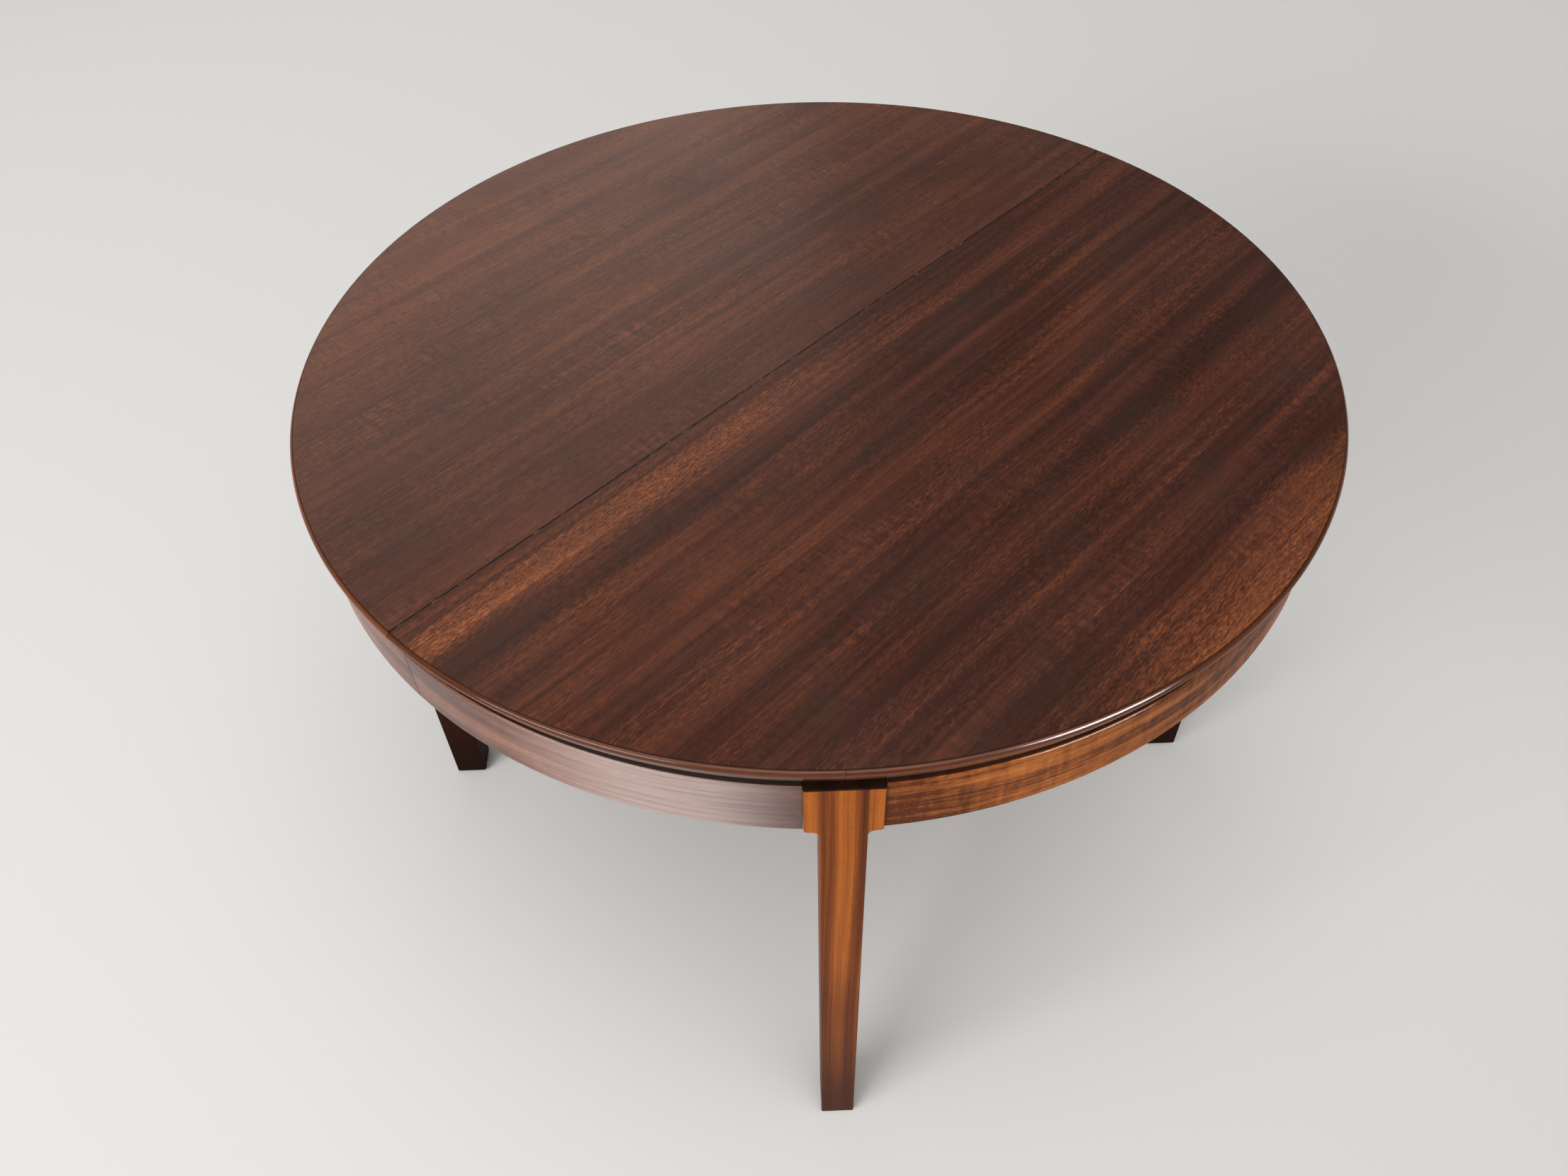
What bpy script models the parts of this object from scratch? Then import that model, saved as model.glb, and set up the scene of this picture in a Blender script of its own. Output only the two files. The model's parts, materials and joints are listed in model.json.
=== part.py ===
# Round extending dining table, about 106 cm across and 73 cm high.
# The top is two half-moons that meet on a straight seam (the plane x = 0). The near half
# (x > 0) pulls away along +X on wooden runners, with its apron and its two legs, so that
# leaves can be laid in the opening. Metres, +Z up, origin on the floor under the centre.
import math

import bmesh
import bpy
from mathutils import Matrix, Vector

# Driving dimensions of the top and the frame
HEIGHT = 0.730
TOP_RADIUS = 0.530
TOP_THICKNESS = 0.018
VENEER_THICKNESS = 0.0009
VENEER_RADIUS = 0.5262
CORE_RADIUS = 0.5180
SEAM_GAP = 0.0008
SHADOW_GAP = 0.0146
APRON_HEIGHT = 0.0614
APRON_OUTER = 0.5214
APRON_THICKNESS = 0.020
LEG_ANGLE = math.radians(45.0)

# Legs
BLOCK_HALF_WIDTH = 0.0328
BLOCK_OUTER = 0.5235
BLOCK_INNER = 0.4775
LEG_HALF_WIDTH_TOP = 0.0199
LEG_HALF_WIDTH_FOOT = 0.0189
FOOT_OUTER = 0.5250
FOOT_INNER = 0.4850
SHOULDER_RADIUS = 0.009
SHELF_FALL = 0.0004
ARRIS = 0.0012
GLIDE_HEIGHT = 0.0025
GLIDE_RADIUS = 0.013

# Clearances: between glued layers, between fitted pieces, between sliding pieces
GLUE = 0.0001
FIT = 0.0003
SLIDE = 0.0005

# Leg bolts (M8) and seam dowels
BOLT_RADIUS = 0.004
BOLT_DEPTH_IN_LEG = 0.025
WASHER_RADIUS = 0.010
WASHER_THICKNESS = 0.0016
NUT_APOTHEM = 0.0065
NUT_THICKNESS = 0.0065
DOWEL_RADIUS = 0.004
DOWEL_SPREAD = 0.38
DOWEL_HELD = 0.022
DOWEL_FREE = 0.016

# Corner blocks behind the legs
CORNER_INNER = 0.452
CORNER_HALF_ANGLE = math.radians(10.5)
CORNER_SETBACK = 0.004

# Spacer ring that carries the top and leaves the shadow gap
SPACER_INNER = 0.478
SPACER_OUTER = 0.506

# Telescoping runners
RUNNER_WIDTH = 0.022
RUNNER_HEIGHT = 0.030
RUNNER_HALF_LENGTH = 0.395
RUNNER_MIDDLE_Y = 0.2225
TONGUE_HEIGHT = 0.008
TONGUE_DEPTH = 0.0065
TONGUE_LENGTH = 0.195
TRAVEL = 1.02

# Cross-rails beside the seam
RAIL_THICKNESS = 0.020
RAIL_FROM_SEAM = 0.030

# Seam catches
CATCH_Y = 0.320
CATCH_PIVOT_X = 0.030
CATCH_REACH = 0.055
CATCH_WIDTH = 0.016
CATCH_THICKNESS = 0.0025
CATCH_SHANK = 0.0025
CATCH_PLATE = 0.008
CATCH_HEAD = 0.005
CATCH_PLATE_THICKNESS = 0.0012

# Heights worked out from the above
TOP_UNDERSIDE = HEIGHT - TOP_THICKNESS
APRON_TOP = TOP_UNDERSIDE - SHADOW_GAP
APRON_BOTTOM = APRON_TOP - APRON_HEIGHT
APRON_INNER = APRON_OUTER - APRON_THICKNESS
RUNNER_TOP = TOP_UNDERSIDE - SLIDE
RUNNER_BOTTOM = RUNNER_TOP - RUNNER_HEIGHT
BOLT_HEIGHT = (APRON_TOP + APRON_BOTTOM) / 2.0
RUNNER_PITCH = RUNNER_WIDTH + SLIDE
STEP = math.radians(3.0)


# ---------------------------------------------------------------- materials
def material(name, colour, roughness, metallic=0.0):
    mat = bpy.data.materials.new(name)
    mat.use_nodes = True
    shader = mat.node_tree.nodes["Principled BSDF"]
    shader.inputs["Base Color"].default_value = (*colour, 1.0)
    shader.inputs["Roughness"].default_value = roughness
    shader.inputs["Metallic"].default_value = metallic
    return mat


def make_materials():
    return {
        "top_veneer": material("top_veneer", (0.115, 0.042, 0.020), 0.32),
        "lipping": material("lipping", (0.150, 0.052, 0.022), 0.30),
        "apron": material("apron", (0.150, 0.060, 0.028), 0.36),
        "leg": material("leg", (0.200, 0.078, 0.030), 0.36),
        "core": material("core", (0.420, 0.290, 0.160), 0.75),
        "beech": material("beech", (0.560, 0.370, 0.210), 0.60),
        "dark_stain": material("dark_stain", (0.020, 0.012, 0.008), 0.55),
        "steel": material("steel", (0.560, 0.560, 0.580), 0.35, 1.0),
        "brass": material("brass", (0.700, 0.480, 0.180), 0.32, 1.0),
        "nylon": material("nylon", (0.060, 0.050, 0.045), 0.60),
    }


# ---------------------------------------------------------------- shape helpers
def clear_scene():
    for obj in list(bpy.data.objects):
        bpy.data.objects.remove(obj, do_unlink=True)


def add_object(name, bm, mat, parent=None, turn=0.0):
    bmesh.ops.recalc_face_normals(bm, faces=bm.faces)
    mesh = bpy.data.meshes.new(name)
    bm.to_mesh(mesh)
    bm.free()
    mesh.materials.append(mat)
    mesh.shade_smooth()
    mesh.set_sharp_from_angle(angle=math.radians(28.0))
    obj = bpy.data.objects.new(name, mesh)
    obj.rotation_euler[2] = turn
    obj.parent = parent
    bpy.context.scene.collection.objects.link(obj)
    return obj


def loft(rings):
    # Skins a list of vertex rings and caps the two ends.
    bm = bmesh.new()
    rows = [[bm.verts.new(point) for point in ring] for ring in rings]
    count = len(rows[0])
    for lower, upper in zip(rows, rows[1:]):
        for i in range(count):
            j = (i + 1) % count
            bm.faces.new((lower[i], lower[j], upper[j], upper[i]))
    bm.faces.new(rows[0])
    bm.faces.new(rows[-1])
    return bm


def prism(outline, low, high):
    return loft([[(x, y, z) for x, y in outline] for z in (low, high)])


def box(x0, x1, y0, y1, z0, z1):
    return prism([(x0, y0), (x1, y0), (x1, y1), (x0, y1)], z0, z1)


def arc_sweep(profile, start, end):
    # Sweeps an (r, z) profile about Z. start and end give the angle at a radius, so that an
    # end face can be a flat plane beside the seam or against a leg block.
    widest = max(r for r, _ in profile)
    steps = max(2, round((end(widest) - start(widest)) / STEP))
    rings = []
    for i in range(steps + 1):
        share = i / steps
        ring = []
        for r, z in profile:
            angle = start(r) * (1.0 - share) + end(r) * share
            ring.append((r * math.cos(angle), r * math.sin(angle), z))
        rings.append(ring)
    return loft(rings)


def seam_angle(sign):
    # Angle at which a radius meets the flat face beside the seam, for the near half.
    return lambda r: sign * (math.pi / 2.0 - math.asin(SEAM_GAP / 2.0 / r))


def leg_side_angle(leg, side):
    # Angle at which a radius meets the side face of a leg block, less the fitting gap.
    offset = BLOCK_HALF_WIDTH + FIT
    return lambda r: leg + side * math.asin(offset / r)


def half_disc(radius, low, high):
    start = seam_angle(-1.0)(radius)
    end = seam_angle(1.0)(radius)
    steps = round((end - start) / STEP)
    outline = []
    for i in range(steps + 1):
        angle = start + (end - start) * i / steps
        outline.append((radius * math.cos(angle), radius * math.sin(angle)))
    return prism(outline, low, high)


def cylinder(radius, low, high, axis, segments=20):
    # A closed cylinder along axis, which is a rotation matrix applied to one along +Z.
    bm = bmesh.new()
    bmesh.ops.create_cone(bm, cap_ends=True, segments=segments, radius1=radius,
                          radius2=radius, depth=high - low)
    bmesh.ops.translate(bm, verts=bm.verts, vec=(0.0, 0.0, (low + high) / 2.0))
    bmesh.ops.transform(bm, verts=bm.verts, matrix=axis)
    return bm


def turned(profile, segments=24):
    # Turns a list of (r, z) points about Z; a callable r gives a radius for each angle.
    rings = []
    for r, z in profile:
        ring = []
        for i in range(segments):
            angle = 2.0 * math.pi * i / segments
            radius = r(angle) if callable(r) else r
            ring.append((radius * math.cos(angle), radius * math.sin(angle), z))
        rings.append(ring)
    return loft(rings)


def cutter(name, bm, parent, turn=0.0):
    bmesh.ops.recalc_face_normals(bm, faces=bm.faces)
    mesh = bpy.data.meshes.new(name)
    bm.to_mesh(mesh)
    bm.free()
    obj = bpy.data.objects.new(name, mesh)
    obj.rotation_euler[2] = turn
    obj.parent = parent
    obj.hide_render = True
    obj.display_type = "WIRE"
    bpy.context.scene.collection.objects.link(obj)
    return obj


def cut(obj, tool):
    modifier = obj.modifiers.new("cut", "BOOLEAN")
    modifier.operation = "DIFFERENCE"
    modifier.solver = "EXACT"
    modifier.object = tool


# ---------------------------------------------------------------- the top
def build_top(half, parent, mats):
    low_veneer = TOP_UNDERSIDE + VENEER_THICKNESS
    add_object("top_veneer_" + half, half_disc(VENEER_RADIUS, HEIGHT - VENEER_THICKNESS, HEIGHT),
               mats["top_veneer"], parent)
    add_object("backing_veneer_" + half, half_disc(CORE_RADIUS, TOP_UNDERSIDE, low_veneer),
               mats["core"], parent)
    core = add_object("top_core_" + half,
                      half_disc(CORE_RADIUS, low_veneer + GLUE, HEIGHT - VENEER_THICKNESS - GLUE),
                      mats["core"], parent)
    bore = DOWEL_RADIUS + FIT
    height = HEIGHT - TOP_THICKNESS / 2.0
    holes = bmesh.new()
    for y in (-DOWEL_SPREAD, 0.0, DOWEL_SPREAD):
        place = Matrix.Translation((0.0, y, height)) @ Matrix.Rotation(math.pi / 2.0, 4, "Y")
        one = cylinder(bore, -0.005, DOWEL_HELD + FIT, place, 16)
        temp = bpy.data.meshes.new("hole")
        one.to_mesh(temp)
        one.free()
        holes.from_mesh(temp)
        bpy.data.meshes.remove(temp)
    cut(core, cutter("dowel_holes_" + half, holes, parent))


def build_lipping(half, parent, mats):
    # Solid edge band in three lengths, butt-jointed over the legs. The veneer laps over its
    # inner part; outside that it is rounded to a nose and falls back to the underside.
    inner = CORE_RADIUS + FIT
    lap = VENEER_RADIUS + FIT
    under_lap = HEIGHT - VENEER_THICKNESS - GLUE
    profile = [
        (inner, TOP_UNDERSIDE),
        (inner, under_lap),
        (lap, under_lap),
        (lap, HEIGHT),
        (lap + 0.0004, HEIGHT),
        (TOP_RADIUS - 0.0014, HEIGHT - 0.0016),
        (TOP_RADIUS - 0.0003, HEIGHT - 0.0032),
        (TOP_RADIUS, HEIGHT - 0.0048),
        (TOP_RADIUS - 0.0005, HEIGHT - 0.0066),
        (TOP_RADIUS - 0.0038, HEIGHT - 0.0155),
        (TOP_RADIUS - 0.0055, HEIGHT - 0.0174),
        (TOP_RADIUS - 0.0072, TOP_UNDERSIDE),
    ]
    butt = GLUE / TOP_RADIUS
    ends = [
        (seam_angle(-1.0), lambda r: -LEG_ANGLE - butt),
        (lambda r: -LEG_ANGLE + butt, lambda r: LEG_ANGLE - butt),
        (lambda r: LEG_ANGLE + butt, seam_angle(1.0)),
    ]
    for number, (start, end) in enumerate(ends, 1):
        add_object(f"lipping_{half}_{number}", arc_sweep(profile, start, end),
                   mats["lipping"], parent)


# ---------------------------------------------------------------- the frame
def build_aprons(half, parent, mats):
    soft = 0.0022
    profile = [
        (APRON_INNER, APRON_BOTTOM),
        (APRON_INNER, APRON_TOP),
        (APRON_OUTER - soft, APRON_TOP),
        (APRON_OUTER - soft * 0.3, APRON_TOP - soft * 0.3),
        (APRON_OUTER, APRON_TOP - soft),
        (APRON_OUTER, APRON_BOTTOM + ARRIS),
        (APRON_OUTER - ARRIS, APRON_BOTTOM),
    ]
    ends = [
        (seam_angle(-1.0), leg_side_angle(-LEG_ANGLE, -1.0)),
        (leg_side_angle(-LEG_ANGLE, 1.0), leg_side_angle(LEG_ANGLE, -1.0)),
        (leg_side_angle(LEG_ANGLE, 1.0), seam_angle(1.0)),
    ]
    for number, (start, end) in enumerate(ends, 1):
        add_object(f"apron_{half}_{number}", arc_sweep(profile, start, end),
                   mats["apron"], parent)


def build_spacer(half, parent, mats):
    low = APRON_TOP + FIT
    high = TOP_UNDERSIDE - FIT
    profile = [(SPACER_INNER, low), (SPACER_INNER, high), (SPACER_OUTER, high), (SPACER_OUTER, low)]
    add_object("spacer_ring_" + half, arc_sweep(profile, seam_angle(-1.0), seam_angle(1.0)),
               mats["dark_stain"], parent)


def leg_section(half_width, outer, inner, z):
    # A square section with eased arrises, in the leg's own frame: X outwards, Y across.
    w = half_width
    return [
        (outer, w - ARRIS, z), (outer - ARRIS, w, z),
        (inner + ARRIS, w, z), (inner, w - ARRIS, z),
        (inner, -w + ARRIS, z), (inner + ARRIS, -w, z),
        (outer - ARRIS, -w, z), (outer, -w + ARRIS, z),
    ]


def leg_mesh():
    rings = [leg_section(BLOCK_HALF_WIDTH - ARRIS, BLOCK_OUTER - ARRIS, BLOCK_INNER, APRON_TOP)]
    rings.append(leg_section(BLOCK_HALF_WIDTH, BLOCK_OUTER, BLOCK_INNER, APRON_TOP - ARRIS))
    rings.append(leg_section(BLOCK_HALF_WIDTH, BLOCK_OUTER, BLOCK_INNER, APRON_BOTTOM))
    for i in range(6):
        angle = math.pi / 2.0 * i / 5.0
        half_width = LEG_HALF_WIDTH_TOP + SHOULDER_RADIUS * (1.0 - math.sin(angle))
        z = APRON_BOTTOM - SHELF_FALL - SHOULDER_RADIUS * (1.0 - math.cos(angle))
        rings.append(leg_section(half_width, BLOCK_OUTER, BLOCK_INNER, z))
    rings.append(leg_section(LEG_HALF_WIDTH_FOOT, FOOT_OUTER, FOOT_INNER, GLIDE_HEIGHT + FIT))
    return loft(rings)


def corner_block_mesh():
    # Braces the two apron ends behind a leg: ears out to the apron, a web behind the leg.
    outer = APRON_INNER - FIT
    notch = BLOCK_HALF_WIDTH + FIT
    web = BLOCK_INNER - FIT
    first = math.asin(notch / outer)
    outline = []
    for i in range(4):
        angle = CORNER_HALF_ANGLE + (first - CORNER_HALF_ANGLE) * i / 3.0
        outline.append((outer * math.cos(angle), outer * math.sin(angle)))
    outline.append((web, notch))
    mirrored = [(x, -y) for x, y in reversed(outline)]
    ear = outer * math.sin(CORNER_HALF_ANGLE)
    outline = [(CORNER_INNER, ear)] + outline + mirrored + [(CORNER_INNER, -ear)]
    return prism(outline, APRON_BOTTOM + CORNER_SETBACK, RUNNER_BOTTOM - SLIDE)


def bolt_mesh():
    # Hanger bolt with its washer and nut, along the leg frame's X axis.
    def hexagon(angle):
        return NUT_APOTHEM / math.cos((angle + math.pi / 6.0) % (math.pi / 3.0) - math.pi / 6.0)

    back = CORNER_INNER - FIT
    nut = back - WASHER_THICKNESS
    tail = nut - NUT_THICKNESS
    tip = BLOCK_INNER + BOLT_DEPTH_IN_LEG
    profile = [
        (BOLT_RADIUS * 0.8, tail - 0.006), (BOLT_RADIUS, tail - 0.005),
        (BOLT_RADIUS, tail), (hexagon, tail),
        (hexagon, nut), (WASHER_RADIUS, nut),
        (WASHER_RADIUS, back), (BOLT_RADIUS, back),
        (BOLT_RADIUS, tip - 0.003), (BOLT_RADIUS * 0.5, tip),
    ]
    bm = turned(profile)
    lay = Matrix.Translation((0.0, 0.0, BOLT_HEIGHT)) @ Matrix.Rotation(math.pi / 2.0, 4, "Y")
    bmesh.ops.transform(bm, verts=bm.verts, matrix=lay)
    return bm


def build_legs(half, parent, mats):
    lay = Matrix.Translation((0.0, 0.0, BOLT_HEIGHT)) @ Matrix.Rotation(math.pi / 2.0, 4, "Y")
    for number, turn in ((1, -LEG_ANGLE), (2, LEG_ANGLE)):
        tag = f"{half}_{number}"
        leg = add_object("leg_" + tag, leg_mesh(), mats["leg"], parent, turn)
        brace = add_object("corner_block_" + tag, corner_block_mesh(), mats["beech"], parent, turn)
        add_object("leg_bolt_" + tag, bolt_mesh(), mats["steel"], parent, turn)
        hole = cylinder(BOLT_RADIUS + FIT, CORNER_INNER - 0.01,
                        BLOCK_INNER + BOLT_DEPTH_IN_LEG + 0.001, lay, 16)
        tool = cutter("bolt_hole_" + tag, hole, parent, turn)
        cut(leg, tool)
        cut(brace, tool)
        glide = turned([(GLIDE_RADIUS - 0.001, 0.0), (GLIDE_RADIUS, 0.001),
                        (GLIDE_RADIUS, GLIDE_HEIGHT)])
        foot = Vector(((FOOT_OUTER + FOOT_INNER) / 2.0, 0.0, 0.0))
        foot.rotate(Matrix.Rotation(turn, 3, "Z"))
        pad = add_object("glide_" + tag, glide, mats["nylon"], parent)
        pad.location = foot


def build_cross_rail(half, parent, mats):
    far_side = RAIL_FROM_SEAM + RAIL_THICKNESS
    half_length = math.sqrt((APRON_INNER - FIT) ** 2 - far_side ** 2) - FIT
    add_object("cross_rail_" + half,
               box(RAIL_FROM_SEAM, far_side, -half_length, half_length,
                   APRON_BOTTOM + 0.002, RUNNER_BOTTOM - FIT),
               mats["beech"], parent)


# ---------------------------------------------------------------- the runners
def runner_mesh(y, groove_side=0, tongue_side=0):
    # A hardwood runner along X, built as a stack of cross-sections. groove_side is +1 or -1
    # for a groove in the +Y or -Y face, open at +X and stopped short of the -X end.
    # tongue_side is the same for a tongue, which stands on the +X end only. The stopped
    # groove and the short tongue are what halts the slide at full travel.
    middle = RUNNER_TOP - RUNNER_HEIGHT / 2.0
    reach = RUNNER_WIDTH / 2.0
    groove = TONGUE_HEIGHT / 2.0 + SLIDE
    tongue = TONGUE_HEIGHT / 2.0
    stop = RUNNER_HALF_LENGTH - TONGUE_LENGTH - TRAVEL / 2.0 - SLIDE

    def section(x, grooved, tongued):
        points = []
        for side in (1, -1):
            depth = 0.0
            half_height = groove
            if side == groove_side and grooved:
                depth = -TONGUE_DEPTH - SLIDE
            if side == tongue_side:
                half_height = tongue
                depth = TONGUE_DEPTH if tongued else 0.0
            edge = y + side * reach
            deep = edge + side * depth
            column = [
                (x, edge, RUNNER_TOP), (x, edge, middle + half_height),
                (x, deep, middle + half_height), (x, deep, middle - half_height),
                (x, edge, middle - half_height), (x, edge, RUNNER_BOTTOM),
            ]
            points += column if side == 1 else list(reversed(column))
        return points

    start = -RUNNER_HALF_LENGTH
    end = RUNNER_HALF_LENGTH
    shoulder = end - TONGUE_LENGTH
    stations = [(start, False, False), (stop, False, False), (stop, True, False),
                (shoulder, True, False), (shoulder, True, True), (end, True, True)]
    if not groove_side:
        stations = [(start, False, False), (shoulder, False, False),
                    (shoulder, False, True), (end, False, True)]
    if not tongue_side:
        stations = [(start, False, False), (stop, False, False),
                    (stop, True, False), (end, True, False)]
    bm = loft([section(*station) for station in stations])
    bmesh.ops.remove_doubles(bm, verts=bm.verts, dist=0.000001)
    bmesh.ops.dissolve_degenerate(bm, edges=bm.edges, dist=0.000001)
    bmesh.ops.dissolve_limit(bm, angle_limit=math.radians(0.5), verts=bm.verts, edges=bm.edges)
    return bm


def build_runners(half, parent, mats):
    # Two runners per half: one inside the middle runner, grooved; one outside it, tongued.
    inner = RUNNER_MIDDLE_Y - RUNNER_PITCH
    outer = RUNNER_MIDDLE_Y + RUNNER_PITCH
    add_object(f"runner_{half}_inner", runner_mesh(-inner, groove_side=-1), mats["beech"], parent)
    tongued = runner_mesh(-outer, tongue_side=1)
    bmesh.ops.transform(tongued, verts=tongued.verts, matrix=Matrix.Rotation(math.pi, 4, "Z"))
    add_object(f"runner_{half}_outer", tongued, mats["beech"], parent)


def build_middle_runner(name, turn, mats):
    pivot = bpy.data.objects.new(name + "_frame", None)
    bpy.context.scene.collection.objects.link(pivot)
    pivot.rotation_euler[2] = turn
    add_object(name, runner_mesh(-RUNNER_MIDDLE_Y, groove_side=-1, tongue_side=1),
               mats["beech"], pivot)


# ---------------------------------------------------------------- seam hardware
def build_dowels(parent, mats):
    height = HEIGHT - TOP_THICKNESS / 2.0
    r = DOWEL_RADIUS
    profile = [(r * 0.55, -DOWEL_FREE), (r, -DOWEL_FREE + 0.004),
               (r, DOWEL_HELD - 0.001), (r - 0.001, DOWEL_HELD)]
    for number, y in enumerate((-DOWEL_SPREAD, 0.0, DOWEL_SPREAD), 1):
        bm = turned(profile, 16)
        place = Matrix.Translation((0.0, y, height)) @ Matrix.Rotation(math.pi / 2.0, 4, "Y")
        bmesh.ops.transform(bm, verts=bm.verts, matrix=place)
        add_object(f"seam_dowel_{number}", bm, mats["beech"], parent)


def catch_post_mesh(height):
    # Turned brass post under the top: round plate, shank, round head.
    top = TOP_UNDERSIDE - FIT
    plate = top - CATCH_PLATE_THICKNESS
    head = plate - height
    return turned([
        (CATCH_HEAD * 0.6, head - 0.0022), (CATCH_HEAD, head - 0.0012), (CATCH_HEAD, head),
        (CATCH_SHANK, head), (CATCH_SHANK, plate), (CATCH_PLATE, plate), (CATCH_PLATE, top),
    ])


def catch_arm_mesh(side):
    # Flat brass arm pointing along +Y * side, drawn about its pivot. The slot near its end
    # opens on the edge that leads when the arm swings over the seam towards +X.
    half_width = CATCH_WIDTH / 2.0
    slot = CATCH_SHANK + 0.0007
    hole = CATCH_SHANK + FIT
    tip = CATCH_REACH + 0.009
    outline = []
    for i in range(9):
        angle = math.pi + math.pi * i / 8.0
        outline.append((half_width * math.cos(angle), half_width * math.sin(angle)))
    outline.append((half_width, CATCH_REACH - slot))
    for i in range(7):
        angle = -math.pi / 2.0 - math.pi * i / 6.0
        outline.append((slot * math.cos(angle), CATCH_REACH + slot * math.sin(angle)))
    outline.append((half_width, CATCH_REACH + slot))
    outline += [(half_width, tip - 0.003), (half_width - 0.003, tip),
                (-half_width + 0.003, tip), (-half_width, tip - 0.003)]
    bm = bmesh.new()
    rim = [bm.verts.new((x, y, 0.0)) for x, y in outline]
    bore = [bm.verts.new((hole * math.cos(a), hole * math.sin(a), 0.0))
            for a in (2.0 * math.pi * i / 16 for i in range(16))]
    edges = [bm.edges.new((ring[i], ring[(i + 1) % len(ring)]))
             for ring in (rim, bore) for i in range(len(ring))]
    bmesh.ops.triangle_fill(bm, edges=edges, use_beauty=True)
    flat = list(bm.faces)
    made = bmesh.ops.extrude_face_region(bm, geom=flat)
    raised = [item for item in made["geom"] if isinstance(item, bmesh.types.BMVert)]
    bmesh.ops.translate(bm, verts=raised, vec=(0.0, 0.0, CATCH_THICKNESS))
    if side < 0:
        bmesh.ops.transform(bm, verts=bm.verts, matrix=Matrix.Scale(-1.0, 4, (0.0, 1.0, 0.0)))
    return bm


def build_catches(far_parent, near_parent, mats):
    post_height = CATCH_THICKNESS + 2.0 * SLIDE
    arm_low = TOP_UNDERSIDE - FIT - CATCH_PLATE_THICKNESS - SLIDE - CATCH_THICKNESS
    for number, side in ((1, -1.0), (2, 1.0)):
        y = side * CATCH_Y
        pivot = add_object(f"catch_pivot_{number}", catch_post_mesh(post_height), mats["brass"])
        pivot.location = (-CATCH_PIVOT_X, y, 0.0)
        pivot.parent = far_parent
        pivot.matrix_parent_inverse = far_parent.matrix_world.inverted()
        stud = add_object(f"catch_stud_{number}", catch_post_mesh(post_height), mats["brass"],
                          near_parent)
        stud.location = (CATCH_REACH - CATCH_PIVOT_X, y, 0.0)
        arm = add_object(f"catch_arm_{number}", catch_arm_mesh(side), mats["brass"])
        arm.location = (-CATCH_PIVOT_X, y, arm_low)


# ---------------------------------------------------------------- assembly
def build_half(half, turn, mats):
    parent = bpy.data.objects.new("half_" + half, None)
    bpy.context.scene.collection.objects.link(parent)
    parent.rotation_euler[2] = turn
    build_top(half, parent, mats)
    build_lipping(half, parent, mats)
    build_aprons(half, parent, mats)
    build_spacer(half, parent, mats)
    build_legs(half, parent, mats)
    build_cross_rail(half, parent, mats)
    build_runners(half, parent, mats)
    return parent


def main():
    clear_scene()
    mats = make_materials()
    far_half = build_half("far", math.pi, mats)
    near_half = build_half("near", 0.0, mats)
    bpy.context.view_layer.update()
    build_middle_runner("middle_runner_1", 0.0, mats)
    build_middle_runner("middle_runner_2", math.pi, mats)
    build_dowels(near_half, mats)
    build_catches(far_half, near_half, mats)


main()
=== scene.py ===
import json
import math
import random

import bmesh
import bpy
from mathutils import Matrix, Vector

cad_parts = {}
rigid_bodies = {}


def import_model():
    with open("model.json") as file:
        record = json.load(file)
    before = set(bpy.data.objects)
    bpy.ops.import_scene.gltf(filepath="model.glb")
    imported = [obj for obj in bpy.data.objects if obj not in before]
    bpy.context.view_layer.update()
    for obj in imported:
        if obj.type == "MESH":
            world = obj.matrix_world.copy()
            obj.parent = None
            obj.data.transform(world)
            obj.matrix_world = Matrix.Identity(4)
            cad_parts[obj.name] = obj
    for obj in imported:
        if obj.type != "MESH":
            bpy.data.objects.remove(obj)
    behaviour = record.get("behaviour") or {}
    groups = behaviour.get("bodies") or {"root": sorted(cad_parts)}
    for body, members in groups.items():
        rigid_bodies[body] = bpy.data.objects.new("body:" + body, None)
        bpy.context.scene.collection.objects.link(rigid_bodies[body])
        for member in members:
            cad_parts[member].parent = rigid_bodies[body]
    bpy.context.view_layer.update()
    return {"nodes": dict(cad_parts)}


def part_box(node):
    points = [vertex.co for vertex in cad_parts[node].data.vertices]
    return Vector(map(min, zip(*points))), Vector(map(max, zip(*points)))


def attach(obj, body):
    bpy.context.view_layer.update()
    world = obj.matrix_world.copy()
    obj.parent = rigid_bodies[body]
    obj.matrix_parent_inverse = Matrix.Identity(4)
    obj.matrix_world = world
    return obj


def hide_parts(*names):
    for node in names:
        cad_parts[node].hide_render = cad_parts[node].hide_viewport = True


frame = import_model()


# ------------------------------------------------------------------ the veneered top
# Each half-moon is faced with slip-matched leaves of rosewood veneer, laid with the grain
# along the seam and glued to the core. The seam edges are lightly chipped by use, and a satin
# lacquer covers the face.
veneer_low, veneer_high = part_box("top_veneer_near")
top_height = veneer_high.z
veneer_radius = veneer_high.y
seam_edge = veneer_low.x
veneer_leaf = 0.1325


def put(tree, kind, sockets=None, **settings):
    # Adds a node to a finish. Sockets take a plain value or another node's output.
    node = tree.nodes.new("ShaderNode" + kind)
    for key, value in settings.items():
        setattr(node, key, value)
    for key, value in (sockets or {}).items():
        if isinstance(value, bpy.types.NodeSocket):
            tree.links.new(value, node.inputs[key])
        else:
            node.inputs[key].default_value = value
    return node


def calc(tree, operation, a, b=0.0, c=0.0):
    node = put(tree, "Math", {0: a, 1: b, 2: c}, operation=operation)
    return node.outputs[0]


def stretched(tree, vector, scale, shift=(0.0, 0.0, 0.0)):
    return put(tree, "Mapping", {"Vector": vector, "Scale": scale, "Location": shift}).outputs[0]


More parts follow.
